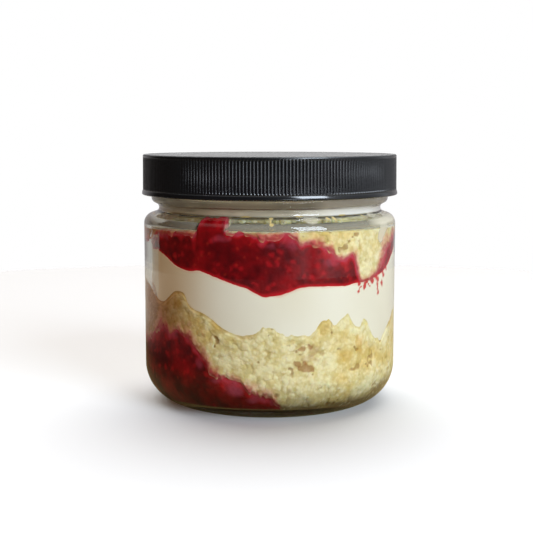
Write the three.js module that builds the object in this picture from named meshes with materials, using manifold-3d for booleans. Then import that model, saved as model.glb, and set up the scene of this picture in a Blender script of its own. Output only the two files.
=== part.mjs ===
// A layered dessert in a squat glass jar under a black screw cap.
// Millimetres, +Z up, the origin at the centre of the foot. The side that shows
// best faces -Y. Angles go round the jar in degrees: 0 is that side, and they
// grow towards +X.

import * as THREE from "three";
import { mergeVertices } from "three/addons/utils/BufferGeometryUtils.js";
import Module from "manifold-3d";

// Glass jar: outside
const JAR_RADIUS = 44.5;
const FOOT_RADIUS = 31.5;
const FOOT_RECESS_RADIUS = 26;
const FOOT_RECESS_DEPTH = 1.6;
const HEEL_HEIGHT = 13.4;
const SHOULDER_Z = 63;
const SHOULDER_ROUND = 3.6;
const SHOULDER_TURN = 75;
const GROOVE_RADIUS = 39.2;
const GROOVE_Z = 68.5;
const GROOVE_ROUND = 1.6;
const GROOVE_TURN = 60;
const BEAD_RADIUS = 41.8;
const BEAD_LOW_Z = 70.1;
const BEAD_HIGH_Z = 73.6;
const BEAD_TURN = 50;
const BEAD_ROUND = 1.8;
const BEAD_CHAMFER = 0.4;
const FINISH_RADIUS = 41;
const RIM_Z = 85.1;
const RIM_ROUND = 0.8;

// Glass jar: inside
const BORE_RADIUS = 42.2;
const MOUTH_RADIUS = 37;
const INNER_SHOULDER_Z = 63;
const INNER_BEND_RADIUS = 39.6;
const INNER_BEND_Z = 65.4;
const INNER_THROAT_RADIUS = 37.6;
const INNER_THROAT_Z = 66;
const INNER_NECK_Z = 66.8;
const INNER_HEEL_Z = 15;
const INNER_HEEL_RADIUS = 32;
const FLOOR_EDGE_Z = 5.2;
const FLOOR_MIDDLE_Z = 6;

// Cap
const CAP_RADIUS = 44.8;
const CAP_BASE_Z = 73;
const CAP_TOP_Z = 87;
const CAP_EDGE_ROUND = 0.6;
const CAP_PANEL_RADIUS = 42.6;
const CAP_PANEL_DEPTH = 0.35;
const CAP_WALL = 1.5;
const CAP_TOP_WALL = 1.6;
const CAP_LIP_HEIGHT = 1.7;
const CAP_LIP_PROUD = 0.3;
const CAP_LIP_CHAMFER = 0.6;
const CAP_BAND_HEIGHT = 0.3;
const RIB_COUNT = 240;
const RIB_DEPTH = 0.45;
const RIB_LOW_Z = CAP_BASE_Z + CAP_LIP_HEIGHT;
const RIB_HIGH_Z = CAP_TOP_Z - CAP_EDGE_ROUND - CAP_BAND_HEIGHT;

// Filling
const CLEARANCE = 0.3;
const BELOW_ALL_Z = -5;
const SURFACE_RADIUS = BORE_RADIUS;
const RING_SHRINK = 0.72;
const FEWEST_IN_RING = 6;

// Facets
const GLASS_SEGMENTS = 56;
const CAP_SEGMENTS = 60;
const FILLING_SEGMENTS = 80;
const RECESS_STEPS = [0, 0.5, 0.8, 1];
const HEEL_STEPS = 5;
const INNER_HEEL_STEPS = 4;
const SHOULDER_STEPS = 3;
const INNER_SHOULDER_STEPS = 3;
const GROOVE_STEPS = 4;
const BEAD_STEPS = 2;
const CAP_EDGE_STEPS = 4;

const COLOURS = {
  glass: 0xdfe5de,
  cap: 0x141416,
  raspberry: 0x8a1420,
  cake: 0xe2d3a0,
  cream: 0xece6d4,
};

// Where each layer ends against the glass: [angle, height]
const LOWER_RASPBERRY_TOP = [
  [-180, 1], [-150, 5], [-128, 15], [-110, 21], [-90, 23], [-74, 23],
  [-62, 28], [-54, 29.5], [-49, 28], [-44, 29], [-38, 26.5], [-33, 21.5],
  [-27, 17], [-17, 14], [-9, 11.3], [0, 8.4], [8, 4.5], [20, 1],
];
const LOWER_CAKE_TOP = [
  [-180, 36], [-160, 33], [-140, 34], [-120, 39], [-100, 43.5], [-80, 44.5],
  [-67, 42.3], [-59, 38], [-51, 39.5], [-44, 42.2], [-39, 39.8], [-35, 36.8],
  [-27, 34.5], [-19, 30.7], [-12, 29.1], [-3, 31.5], [3, 31], [9, 29.1],
  [17, 29.6], [25, 33.6], [29, 31.9], [36, 34.2], [43, 29.9], [47, 32.2],
  [53, 26], [60, 24.8], [68, 28.5], [78, 33], [95, 36], [115, 33.5],
  [140, 38], [160, 39],
];
const CREAM_TOP = [
  [-180, 51], [-150, 49], [-120, 51], [-95, 54], [-68, 54.9], [-57, 54.6],
  [-46, 50.9], [-32, 49.6], [-16, 46.1], [-3, 42.2], [5, 42.9], [14, 45],
  [34, 44.7], [45, 45.4], [56, 46.8], [68, 50.4], [80, 55.2], [100, 55],
  [125, 51], [150, 52],
];
const UPPER_RASPBERRY_TOP = [
  [-180, 58], [-150, 56], [-120, 57.5], [-95, 58], [-68, 57.5], [-59, 60.7],
  [-46, 61.2], [-36, 62], [-31.5, 66.2], [-20.5, 66.4], [-17, 62.6],
  [-11, 62.2], [-2, 60.7], [7, 62.2], [13, 58.9], [23, 57.9], [31, 53.6],
  [38, 54.4], [42, 48.5], [46, 46.2], [56, 48.4], [62, 52.4], [68, 56],
  [76, 58.6], [84, 58.4], [100, 57], [125, 54.5], [150, 57],
];
const UPPER_CAKE_TOP = [
  [-180, 62.6], [-140, 61.8], [-100, 61.4], [-60, 62], [-20, 62.4],
  [20, 62.8], [60, 62.4], [100, 61.8], [140, 62.6],
];

// Height of each surface in the middle of the jar, and the share of the radius
// that keeps it
const LOWER_RASPBERRY_MIDDLE = { z: -4, hold: 0.5 };
const LOWER_CAKE_MIDDLE = { z: 33, hold: 0.2 };
const CREAM_MIDDLE = { z: 48, hold: 0.2 };
const UPPER_RASPBERRY_MIDDLE = { z: 59, hold: 0.3 };
const UPPER_CAKE_MIDDLE = { z: 64.2, hold: 0.7 };
const CRUST_BUMP = 0.5;
const CRUST_WAVES = 7;
const CRUST_CROSS_WAVES = 4;

const radians = (deg) => (deg * Math.PI) / 180;

// A smooth height for every angle, through the points of a closed outline
function roundTheJar(points) {
  const count = points.length;
  const at = (i) => {
    const turn = Math.floor(i / count);
    const [deg, z] = points[i - turn * count];
    return [deg + 360 * turn, z];
  };
  const slope = (i) => {
    const [before, after] = [at(i - 1), at(i + 1)];
    return (after[1] - before[1]) / (after[0] - before[0]);
  };
  return (deg) => {
    const d = THREE.MathUtils.euclideanModulo(deg - points[0][0], 360) + points[0][0];
    let i = 0;
    while (i < count - 1 && at(i + 1)[0] <= d) i++;
    const [left, right] = [at(i), at(i + 1)];
    const width = right[0] - left[0];
    const t = (d - left[0]) / width;
    return (
      left[1] * (1 + 2 * t) * (1 - t) ** 2 +
      slope(i) * width * t * (1 - t) ** 2 +
      right[1] * t * t * (3 - 2 * t) -
      slope(i + 1) * width * t * t * (1 - t)
    );
  };
}

// The height of a layer's surface at an angle and a radius
function surface(outline, middle, bump = 0) {
  const wall = roundTheJar(outline);
  return (deg, r) => {
    const share = THREE.MathUtils.smoothstep(r / BORE_RADIUS, middle.hold, 1);
    const base = THREE.MathUtils.lerp(middle.z, wall(deg), share);
    const wave = Math.sin(radians(CRUST_WAVES * deg) + r / 2);
    return base + bump * wave * Math.cos(radians(CRUST_CROSS_WAVES * deg) - r);
  };
}

function arc(centreR, centreZ, radiusR, radiusZ, from, to, steps) {
  return Array.from({ length: steps + 1 }, (_, i) => {
    const a = radians(from + ((to - from) * i) / steps);
    return new THREE.Vector2(centreR + radiusR * Math.cos(a), centreZ + radiusZ * Math.sin(a));
  });
}

// The inside of the jar from its floor to its mouth, drawn in by a clearance
function insideProfile(clearance) {
  const heelRound = BORE_RADIUS - INNER_HEEL_RADIUS - clearance;
  const floorDrop = INNER_HEEL_Z - FLOOR_EDGE_Z - clearance;
  const shoulder = new THREE.QuadraticBezierCurve(
    new THREE.Vector2(BORE_RADIUS - clearance, INNER_SHOULDER_Z),
    new THREE.Vector2(INNER_BEND_RADIUS - clearance, INNER_BEND_Z),
    new THREE.Vector2(INNER_THROAT_RADIUS - clearance, INNER_THROAT_Z),
  );
  return [
    new THREE.Vector2(0, FLOOR_MIDDLE_Z + clearance),
    ...arc(INNER_HEEL_RADIUS, INNER_HEEL_Z, heelRound, floorDrop, -90, 0, INNER_HEEL_STEPS),
    ...shoulder.getPoints(INNER_SHOULDER_STEPS),
    new THREE.Vector2(MOUTH_RADIUS - clearance, INNER_NECK_Z),
  ];
}

function glassProfile() {
  const recess = RECESS_STEPS.map(
    (t) => new THREE.Vector2(FOOT_RECESS_RADIUS * t, FOOT_RECESS_DEPTH * (1 - t * t)),
  );
  const heel = arc(
    FOOT_RADIUS, HEEL_HEIGHT, JAR_RADIUS - FOOT_RADIUS, HEEL_HEIGHT, -90, 0, HEEL_STEPS,
  );
  const shoulder = arc(
    JAR_RADIUS - SHOULDER_ROUND, SHOULDER_Z, SHOULDER_ROUND, SHOULDER_ROUND,
    0, SHOULDER_TURN, SHOULDER_STEPS,
  );
  const groove = arc(
    GROOVE_RADIUS + GROOVE_ROUND, GROOVE_Z, GROOVE_ROUND, GROOVE_ROUND,
    180 + GROOVE_TURN, 180 - GROOVE_TURN, GROOVE_STEPS,
  );
  const bead = arc(
    BEAD_RADIUS - BEAD_ROUND, BEAD_LOW_Z + BEAD_ROUND, BEAD_ROUND, BEAD_ROUND,
    -BEAD_TURN, 0, BEAD_STEPS,
  );
  const rim = [
    new THREE.Vector2(FINISH_RADIUS, BEAD_HIGH_Z + BEAD_CHAMFER),
    new THREE.Vector2(FINISH_RADIUS, RIM_Z - RIM_ROUND),
    new THREE.Vector2(FINISH_RADIUS - RIM_ROUND, RIM_Z),
    new THREE.Vector2(MOUTH_RADIUS + RIM_ROUND, RIM_Z),
    new THREE.Vector2(MOUTH_RADIUS, RIM_Z - RIM_ROUND),
  ];
  return [
    ...recess,
    ...heel,
    ...shoulder,
    ...groove,
    ...bead,
    new THREE.Vector2(BEAD_RADIUS, BEAD_HIGH_Z),
    ...rim,
    ...insideProfile(0).reverse(),
  ];
}

function capProfile() {
  const under = CAP_TOP_Z - CAP_TOP_WALL;
  const bodyRadius = CAP_RADIUS - RIB_DEPTH;
  return [
    new THREE.Vector2(0, under),
    new THREE.Vector2(bodyRadius - CAP_WALL, under),
    new THREE.Vector2(bodyRadius - CAP_WALL, CAP_BASE_Z),
    new THREE.Vector2(CAP_RADIUS + CAP_LIP_PROUD - CAP_LIP_CHAMFER, CAP_BASE_Z),
    new THREE.Vector2(CAP_RADIUS + CAP_LIP_PROUD, CAP_BASE_Z + CAP_LIP_CHAMFER),
    new THREE.Vector2(CAP_RADIUS + CAP_LIP_PROUD, RIB_LOW_Z - CAP_LIP_PROUD),
    new THREE.Vector2(CAP_RADIUS, RIB_LOW_Z),
    new THREE.Vector2(bodyRadius, RIB_LOW_Z),
    new THREE.Vector2(bodyRadius, RIB_HIGH_Z),
    new THREE.Vector2(CAP_RADIUS, RIB_HIGH_Z),
    ...arc(
      CAP_RADIUS - CAP_EDGE_ROUND, CAP_TOP_Z - CAP_EDGE_ROUND,
      CAP_EDGE_ROUND, CAP_EDGE_ROUND, 0, 90, CAP_EDGE_STEPS,
    ),
    new THREE.Vector2(CAP_PANEL_RADIUS, CAP_TOP_Z),
    new THREE.Vector2(CAP_PANEL_RADIUS - CAP_PANEL_DEPTH, CAP_TOP_Z - CAP_PANEL_DEPTH),
    new THREE.Vector2(0, CAP_TOP_Z - CAP_PANEL_DEPTH),
  ];
}

// The grip: a ring whose outside is one tooth for each rib
function ribGeometry() {
  const crown = new THREE.Shape();
  const points = 2 * RIB_COUNT;
  const root = CAP_RADIUS - RIB_DEPTH;
  for (let i = 0; i < points; i++) {
    const a = (2 * Math.PI * i) / points;
    const r = i % 2 ? root : CAP_RADIUS;
    crown[i ? "lineTo" : "moveTo"](r * Math.cos(a), r * Math.sin(a));
  }
  const bore = new THREE.Path();
  for (let i = CAP_SEGMENTS; i > 0; i--) {
    const a = (2 * Math.PI * i) / CAP_SEGMENTS;
    const r = root - CAP_WALL / 2;
    bore[i === CAP_SEGMENTS ? "moveTo" : "lineTo"](r * Math.cos(a), r * Math.sin(a));
  }
  crown.holes.push(bore);
  return new THREE.ExtrudeGeometry(crown, {
    depth: RIB_HIGH_Z - RIB_LOW_Z,
    bevelEnabled: false,
    curveSegments: 1,
  }).translate(0, 0, RIB_LOW_Z);
}

function turned(profile, segments) {
  return new THREE.LatheGeometry(profile, segments).rotateX(Math.PI / 2);
}

// Everything below a surface: its rings halve their points towards the middle
function belowGeometry(height, lift) {
  const rings = [];
  let ringRadius = SURFACE_RADIUS;
  for (let n = FILLING_SEGMENTS; n >= FEWEST_IN_RING; n /= 2) {
    rings.push({ n, r: ringRadius, first: 0 });
    ringRadius *= RING_SHRINK;
  }
  const positions = [];
  const put = (r, deg, z) => {
    positions.push(r * Math.sin(radians(deg)), -r * Math.cos(radians(deg)), z);
    return positions.length / 3 - 1;
  };
  for (const ring of rings) {
    ring.first = positions.length / 3;
    for (let k = 0; k < ring.n; k++) {
      const deg = (360 * k) / ring.n;
      put(ring.r, deg, height(deg, ring.r) + lift);
    }
  }
  const faces = [];
  rings.slice(1).forEach((inner, step) => {
    const outer = rings[step];
    for (let k = 0; k < inner.n; k++) {
      const [o0, o1, o2] = [0, 1, 2].map((j) => outer.first + ((2 * k + j) % outer.n));
      const [i0, i1] = [0, 1].map((j) => inner.first + ((k + j) % inner.n));
      faces.push(o0, o1, i0, o1, i1, i0, o1, o2, i1);
    }
  });
  const last = rings.at(-1);
  const top = put(0, 0, height(0, 0) + lift);
  for (let k = 0; k < last.n; k++) {
    faces.push(last.first + k, last.first + ((k + 1) % last.n), top);
  }
  const foot = positions.length / 3;
  for (let k = 0; k < FILLING_SEGMENTS; k++) {
    put(SURFACE_RADIUS, (360 * k) / FILLING_SEGMENTS, BELOW_ALL_Z);
  }
  const bottom = put(0, 0, BELOW_ALL_Z);
  for (let k = 0; k < FILLING_SEGMENTS; k++) {
    const next = (k + 1) % FILLING_SEGMENTS;
    faces.push(foot + k, foot + next, next, foot + k, next, k, bottom, foot + next, foot + k);
  }
  const made = new THREE.BufferGeometry();
  made.setAttribute("position", new THREE.Float32BufferAttribute(positions, 3));
  made.setIndex(faces);
  return made;
}

const wasm = await Module();
wasm.setup();

function toSolid(geometry) {
  const bare = geometry.clone();
  for (const name of Object.keys(bare.attributes)) {
    if (name !== "position") bare.deleteAttribute(name);
  }
  const merged = mergeVertices(bare, 1e-4);
  const mesh = new wasm.Mesh({
    numProp: 3,
    vertProperties: new Float32Array(merged.attributes.position.array),
    triVerts: new Uint32Array(merged.index.array),
  });
  return new wasm.Manifold(mesh);
}

// The largest body of a solid: thin scraps that a cut leaves are dropped
function largest(made) {
  return made.decompose().sort((a, b) => b.volume() - a.volume())[0];
}

function toGeometry(made) {
  const mesh = made.getMesh();
  const geometry = new THREE.BufferGeometry();
  geometry.setAttribute("position", new THREE.BufferAttribute(mesh.vertProperties, 3));
  geometry.setIndex(new THREE.BufferAttribute(mesh.triVerts, 1));
  geometry.computeVertexNormals();
  return geometry;
}

// The layer between two surfaces, cut to the room inside the glass
function layer(room, floor, ceiling) {
  const under = toSolid(belowGeometry(ceiling, 0));
  const whole = room.intersect(under);
  if (!floor) return largest(whole);
  return largest(whole.subtract(toSolid(belowGeometry(floor, CLEARANCE))));
}

const jar = new THREE.Group();

function add(name, geometry, colour, roughness, extra = {}) {
  const material = new THREE.MeshStandardMaterial({ color: colour, roughness, ...extra });
  const mesh = new THREE.Mesh(geometry, material);
  mesh.name = name;
  jar.add(mesh);
}

const lowerRaspberry = surface(LOWER_RASPBERRY_TOP, LOWER_RASPBERRY_MIDDLE);
const lowerCake = surface(LOWER_CAKE_TOP, LOWER_CAKE_MIDDLE);
const creamSurface = surface(CREAM_TOP, CREAM_MIDDLE);
const upperRaspberry = surface(UPPER_RASPBERRY_TOP, UPPER_RASPBERRY_MIDDLE);
const upperCake = surface(UPPER_CAKE_TOP, UPPER_CAKE_MIDDLE, CRUST_BUMP);

const room = toSolid(
  turned([...insideProfile(CLEARANCE), new THREE.Vector2(0, INNER_NECK_Z)], FILLING_SEGMENTS),
);
const cap = toSolid(turned(capProfile(), CAP_SEGMENTS)).add(toSolid(ribGeometry()));

add("glass_jar", turned(glassProfile(), GLASS_SEGMENTS), COLOURS.glass, 0.05, {
  transparent: true,
  opacity: 0.3,
});
add("cap", toGeometry(cap), COLOURS.cap, 0.4);
add("raspberry_lower", toGeometry(layer(room, null, lowerRaspberry)), COLOURS.raspberry, 0.3);
add("cake_lower", toGeometry(layer(room, lowerRaspberry, lowerCake)), COLOURS.cake, 0.9);
add("cream", toGeometry(layer(room, lowerCake, creamSurface)), COLOURS.cream, 0.5);
add(
  "raspberry_upper",
  toGeometry(layer(room, creamSurface, upperRaspberry)),
  COLOURS.raspberry,
  0.3,
);
add("cake_upper", toGeometry(layer(room, upperRaspberry, upperCake)), COLOURS.cake, 0.9);

export default jar;
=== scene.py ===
# A layered dessert in a glass jar: crumbled cake, cream and crushed raspberry under a ribbed black cap.
# Lengths are millimetres until a mesh is made. Angles go round the jar in degrees: 0 faces the camera,
# and they grow towards the camera's right. The last number given to cloud, cells, stroke or crumbly
# is a seed.
import math

import bpy
import numpy as np
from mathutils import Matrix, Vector


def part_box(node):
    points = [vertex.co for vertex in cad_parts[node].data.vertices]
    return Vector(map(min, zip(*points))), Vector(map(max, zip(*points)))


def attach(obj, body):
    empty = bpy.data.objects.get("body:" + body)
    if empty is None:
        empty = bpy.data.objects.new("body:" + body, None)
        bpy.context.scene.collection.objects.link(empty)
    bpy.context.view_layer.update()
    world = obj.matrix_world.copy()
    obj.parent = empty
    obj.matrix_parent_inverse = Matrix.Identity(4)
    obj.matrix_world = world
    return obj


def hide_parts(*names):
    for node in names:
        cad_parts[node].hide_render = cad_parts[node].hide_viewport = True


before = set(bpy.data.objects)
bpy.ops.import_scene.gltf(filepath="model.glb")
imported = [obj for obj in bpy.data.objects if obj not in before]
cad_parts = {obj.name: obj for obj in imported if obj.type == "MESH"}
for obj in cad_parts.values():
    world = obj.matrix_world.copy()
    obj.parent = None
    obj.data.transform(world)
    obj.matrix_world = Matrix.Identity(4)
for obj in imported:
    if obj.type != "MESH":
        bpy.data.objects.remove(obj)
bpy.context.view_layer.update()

MM = 0.001

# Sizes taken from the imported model
JAR_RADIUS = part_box("glass_jar")[1].x / MM
RIM_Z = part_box("glass_jar")[1].z / MM
CAP_LIP_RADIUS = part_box("cap")[1].x / MM
CAP_BASE_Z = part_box("cap")[0].z / MM
CAP_TOP_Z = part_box("cap")[1].z / MM

# Glass, outside
FOOT_RADIUS = 31.5
FOOT_RECESS_RADIUS = 26
FOOT_RECESS_DEPTH = 1.6
HEEL_HEIGHT = 13.4
SHOULDER_Z = 63
SHOULDER_ROUND = 3.6
SHOULDER_TURN = 75
GROOVE_RADIUS = 39.2
GROOVE_Z = 68.5
GROOVE_ROUND = 1.6
BEAD_RADIUS = 41.8
BEAD_LOW_Z = 70.1
BEAD_HIGH_Z = 73.6
FINISH_RADIUS = 41
RIM_ROUND = 0.8
GLASS_COLUMNS = 256

# Glass, inside
BORE_RADIUS = 42.2
MOUTH_RADIUS = 37
INNER_SHOULDER_Z = 63
INNER_BEND_RADIUS = 39.6
INNER_BEND_Z = 65.4
INNER_THROAT_RADIUS = 37.6
INNER_THROAT_Z = 66
INNER_NECK_Z = 66.8
INNER_HEEL_Z = 15
INNER_HEEL_RADIUS = 32
FLOOR_EDGE_Z = 5.2
FLOOR_MIDDLE_Z = 6
GIRTH = 2 * math.pi * BORE_RADIUS
DEGREE = GIRTH / 360

# Cap
CAP_RADIUS = CAP_LIP_RADIUS - 0.3
CAP_TAPER = 0.12
CAP_EDGE_ROUND = 0.6
CAP_PANEL_RADIUS = 42.6
CAP_PANEL_DEPTH = 0.35
CAP_WALL = 1.5
CAP_TOP_WALL = 1.6
CAP_LIP_HEIGHT = 1.7
CAP_LIP_ROUND = 0.45
CAP_LIP_DROP = 0.35
CAP_BAND_HEIGHT = 0.3
RIB_LOW_Z = CAP_BASE_Z + CAP_LIP_HEIGHT
RIB_HIGH_Z = CAP_TOP_Z - CAP_EDGE_ROUND - CAP_BAND_HEIGHT
RIB_COUNT = 240
RIB_DEPTH = 0.45
# The places of a rib's corners, as shares of its half width
RIB_CORNERS = (-0.97, -0.88, -0.6, -0.2, 0.2, 0.6, 0.88, 0.97)
RIB_FADE = 0.7

# Meshes of the food. The edge step is the share of a layer's height that its first and last rows take,
# which keeps its edges crisp. Where a layer is missing, it is a thread that lies inside its neighbours.
LAYER_COLUMNS = 780
JAM_ROWS = 66
CREAM_ROWS = 44
LOWER_CAKE_ROWS = 120
UPPER_CAKE_ROWS = 60
CROWN_ROWS = 60
CROWN_CROWDING = 0.7
CROWN_EDGE = 0.008
EDGE_STEP = 0.002
THREAD_HEIGHT = 0.1
THREAD_DEPTH = 0.4
CLOSING_SHARES = np.array([0.97, 0.8, 0.4])
FILM_COLUMNS, FILM_ROWS = 600, 66

# How deep the food lies inside the inner wall; less than 0 is in the glass
CAKE_CREST = -0.9
CAKE_LEAST = -0.1
CRUMB_RISE = 0.6
PIT_RISE = 0.35
SEAM_DEPTH = -0.4
SEAM_REACH = 1.1
JAM_DEPTH = -0.3
CREAM_DEPTH = -0.3
FILM_DEPTH = -1.0
AIR_GAP = 0.7
# How far the cake reaches down behind the jam, and other layers up behind the next
UNDERLAP = 0.15
OVERLAP = 0.3

# Lowest point of the filling against the glass
FOOD_FOOT_Z = 5.9

# Where each layer ends against the glass: angle, height
LOWER_RASPBERRY_TOP = [
    (-180, 4), (-150, 5.4), (-128, 15), (-110, 21), (-90, 23), (-74, 23), (-67, 25), (-62, 28),
    (-56, 29.5), (-52.5, 29), (-50.5, 27.2), (-46, 29), (-42, 28), (-37.5, 26.6), (-35, 24), (-32, 21.6),
    (-29, 19.8), (-27, 16.8), (-23, 15.8), (-19, 14.6), (-15, 13.9), (-10, 11.9), (-6, 9.8), (-2, 8.6),
    (2, 7.9), (6, 6.2), (9, 4.6), (20, 4),
]
LOWER_CAKE_TOP = [
    (-180, 36), (-160, 33), (-140, 34), (-120, 39), (-100, 43.5), (-82, 44.5), (-67, 42.3), (-61, 38.5),
    (-55, 37.8), (-51, 39.5), (-47, 41.7), (-43.5, 42.2), (-40.5, 41.4), (-38.5, 38.6), (-35.5, 36.9),
    (-30, 35.6), (-26, 34), (-22, 31.8), (-17, 30), (-12, 29.1), (-8, 29.6), (-4, 31.2), (0, 31.7),
    (4, 30.6), (8, 29.2), (13, 29.2), (19, 30), (22, 32.4), (26, 34.1), (29, 31.7), (32, 33.1),
    (36.5, 34.6), (38.5, 32.2), (41, 30.4), (43.5, 29.8), (45.5, 32.2), (48, 32.3), (50, 29.6),
    (53, 25.9), (58, 24.4), (62, 25.2), (65, 27.4), (70, 29.4), (78, 33), (95, 36), (115, 33.5),
    (140, 38), (160, 39),
]
CREAM_TOP = [
    (-180, 51), (-150, 49), (-120, 51), (-95, 54), (-76, 55), (-67, 54.8), (-60, 55.1), (-53, 53.4),
    (-46, 50.8), (-38, 49.5), (-32, 49.7), (-25, 48.2), (-16, 46), (-10, 44.7), (-6, 43.2), (-2.5, 42.1),
    (1, 42.4), (5, 42.7), (9, 43.8), (14, 45), (20, 45.1), (27, 45), (34, 44.7), (40, 45.2), (46, 45.5),
    (53, 46.3), (60, 47.5), (64, 48.7), (68, 50.4), (72, 52.4), (80, 55.2), (100, 55), (125, 51),
    (150, 52),
]
UPPER_RASPBERRY_TOP = [
    (-180, 58), (-150, 56), (-120, 57.5), (-95, 58), (-78, 57), (-68, 57.4), (-64, 59.8), (-59, 60.7),
    (-46, 61.2), (-40, 61.5), (-33.6, 62), (-32.8, 65), (-31, 65.9), (-22, 66.1), (-20.6, 65),
    (-19.2, 62.6), (-11, 62.2), (-6, 61.4), (-1, 60.5), (3, 60.9), (7, 62.3), (10.5, 61.2), (13, 58.8),
    (17.5, 59.2), (23, 57.8), (27, 56.5), (31, 53.6), (34, 53.4), (38, 54.6), (40, 52.8), (41.5, 48.8),
    (43.5, 46), (47, 45.8), (53, 46.9), (57, 48.6), (60.5, 51.4), (64, 54.2), (68, 56.2), (72, 58.2),
    (78, 59), (84, 58.4), (100, 57), (125, 54.5), (150, 57),
]
UPPER_CAKE_TOP = [
    (-180, 62.6), (-140, 61.8), (-100, 61.4), (-60, 62), (-20, 62.4), (20, 62.8), (60, 62.4), (100, 61.8),
    (140, 62.6),
]
UPPER_CAKE_MIDDLE_Z = 64.2

# Camera, from the photograph's ellipses
FOCAL_PIXELS = 1100
PHOTO_PIXELS = 533
JAR_AXIS_PIXEL = 269.6
CAMERA_DISTANCE = 394.5
CAMERA_PITCH = 6.97
CAMERA_AIM_Z = 46.8
SENSOR_WIDTH = 36
FRONT_CROWDING = 0.5
FLOOR_RADIUS = 400


def linear(red, green, blue):
    """A colour as linear light, from the values that a screen shows."""
    shown = np.array([red, green, blue]) / 255
    return np.where(shown <= 0.04045, shown / 12.92, ((shown + 0.055) / 1.055) ** 2.4)


def smooth(low, high, x):
    t = np.clip((x - low) / (high - low), 0, 1)
    return t * t * (3 - 2 * t)


def within(x, start, whole, falling, end):
    """A share that rises from a start, stays whole and falls again to an end."""
    return smooth(start, whole, x) * smooth(end, falling, x)


def mix(a, b, share):
    """Blends two colours, or two fields of colour, by a field of shares."""
    share = np.asarray(share)[..., None]
    return a * (1 - share) + b * share


def round_the_jar(points):
    """A smooth height for any angle, through the points of a closed outline."""
    a, z = np.array(points, float).T
    a = np.concatenate([a[-2:] - 360, a, a[:3] + 360])
    z = np.concatenate([z[-2:], z, z[:3]])
    slope = np.zeros_like(z)
    slope[1:-1] = (z[2:] - z[:-2]) / (a[2:] - a[:-2])

    def height(deg):
        d = (np.asarray(deg, float) + 180) % 360 - 180
        i = np.clip(np.searchsorted(a, d, side="right") - 1, 1, len(a) - 3)
        width = a[i + 1] - a[i]
        t = (d - a[i]) / width
        return (
            z[i] * (1 + 2 * t) * (1 - t) ** 2
            + slope[i] * width * t * (1 - t) ** 2
            + z[i + 1] * t * t * (3 - 2 * t)
            - slope[i + 1] * width * t * t * (1 - t)
        )

    return height


def scrambled(i, j, seed):
    """Three even random numbers for each cell of a grid, stirred by large primes."""
    mask = np.uint64(0xFFFFFFFF)
    h = i.astype(np.int64).astype(np.uint64) * np.uint64(73856093)
    h ^= j.astype(np.int64).astype(np.uint64) * np.uint64(19349663)
    h ^= np.uint64(seed * 83492791 + 12345)
    out = []
    for k in range(3):
        h = (h ^ (h >> np.uint64(13))) * np.uint64(1274126177 + 2 * k) & mask
        h = (h ^ (h >> np.uint64(16))) & mask
        out.append(h / float(0xFFFFFFFF))
    return out


def cells(s, z, size, seed):
    """Distance to the nearest scattered point, and that point's random number. s wraps round the jar."""
    count = round(GIRTH / size)
    side = GIRTH / count
    u, v = s / side, z / side
    iu, iv = np.floor(u).astype(int), np.floor(v).astype(int)
    nearest = np.full(u.shape, np.inf)
    mark = np.zeros(u.shape)
    for du in (-1, 0, 1):
        for dv in (-1, 0, 1):
            ju, jv = iu + du, iv + dv
            x, y, tag = scrambled(ju % count, jv, seed)
            away = np.hypot(u - ju - x, v - jv - y)
            mark = np.where(away < nearest, tag, mark)
            nearest = np.minimum(away, nearest)
    return nearest * side, mark


def cloud(s, z, size, seed):
    """Smooth noise from 0 to 1. s wraps round the jar."""
    count = round(GIRTH / size)
    side = GIRTH / count
    u, v = s / side, z / side
    iu, iv = np.floor(u).astype(int), np.floor(v).astype(int)
    fu, fv = smooth(0, 1, u - iu), smooth(0, 1, v - iv)
    corner = [[scrambled((iu + i) % count, iv + j, seed)[0] for j in (0, 1)] for i in (0, 1)]
    low = corner[0][0] * (1 - fu) + corner[1][0] * fu
    high = corner[0][1] * (1 - fu) + corner[1][1] * fu
    return low * (1 - fv) + high * fv


def arc(centre_r, centre_z, radius_r, radius_z, start, end, steps):
    a = np.radians(np.linspace(start, end, steps + 1))
    return np.stack([centre_r + radius_r * np.cos(a), centre_z + radius_z * np.sin(a)], 1)


def inside_profile():
    """The glass's inner wall from the edge of its floor to the cap: radius and height."""
    heel_wide, heel_tall = BORE_RADIUS - INNER_HEEL_RADIUS, INNER_HEEL_Z - FLOOR_EDGE_Z
    heel = arc(INNER_HEEL_RADIUS, INNER_HEEL_Z, heel_wide, heel_tall, -90, 0, 24)
    t = np.linspace(0, 1, 21)[:, None]
    low = np.array([BORE_RADIUS, INNER_SHOULDER_Z])
    bend = np.array([INNER_BEND_RADIUS, INNER_BEND_Z])
    throat = np.array([INNER_THROAT_RADIUS, INNER_THROAT_Z])
    shoulder = low * (1 - t) ** 2 + bend * 2 * t * (1 - t) + throat * t**2
    below = [[BORE_RADIUS, INNER_SHOULDER_Z - 0.3]]
    above = [[MOUTH_RADIUS + 0.2, INNER_THROAT_Z + 0.25]]
    above += [[MOUTH_RADIUS, z] for z in (INNER_NECK_Z, RIM_Z - RIM_ROUND)]
    return np.concatenate([heel, below, shoulder, above])


INSIDE = inside_profile()
INSIDE_STEP = np.hypot(*np.diff(INSIDE, axis=0).T)
INSIDE_RUN = np.concatenate([[0], np.cumsum(INSIDE_STEP)])


def wall_run(z):
    """How far along the inner wall a height lies."""
    return np.interp(z, INSIDE[:, 1], INSIDE_RUN)


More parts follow.
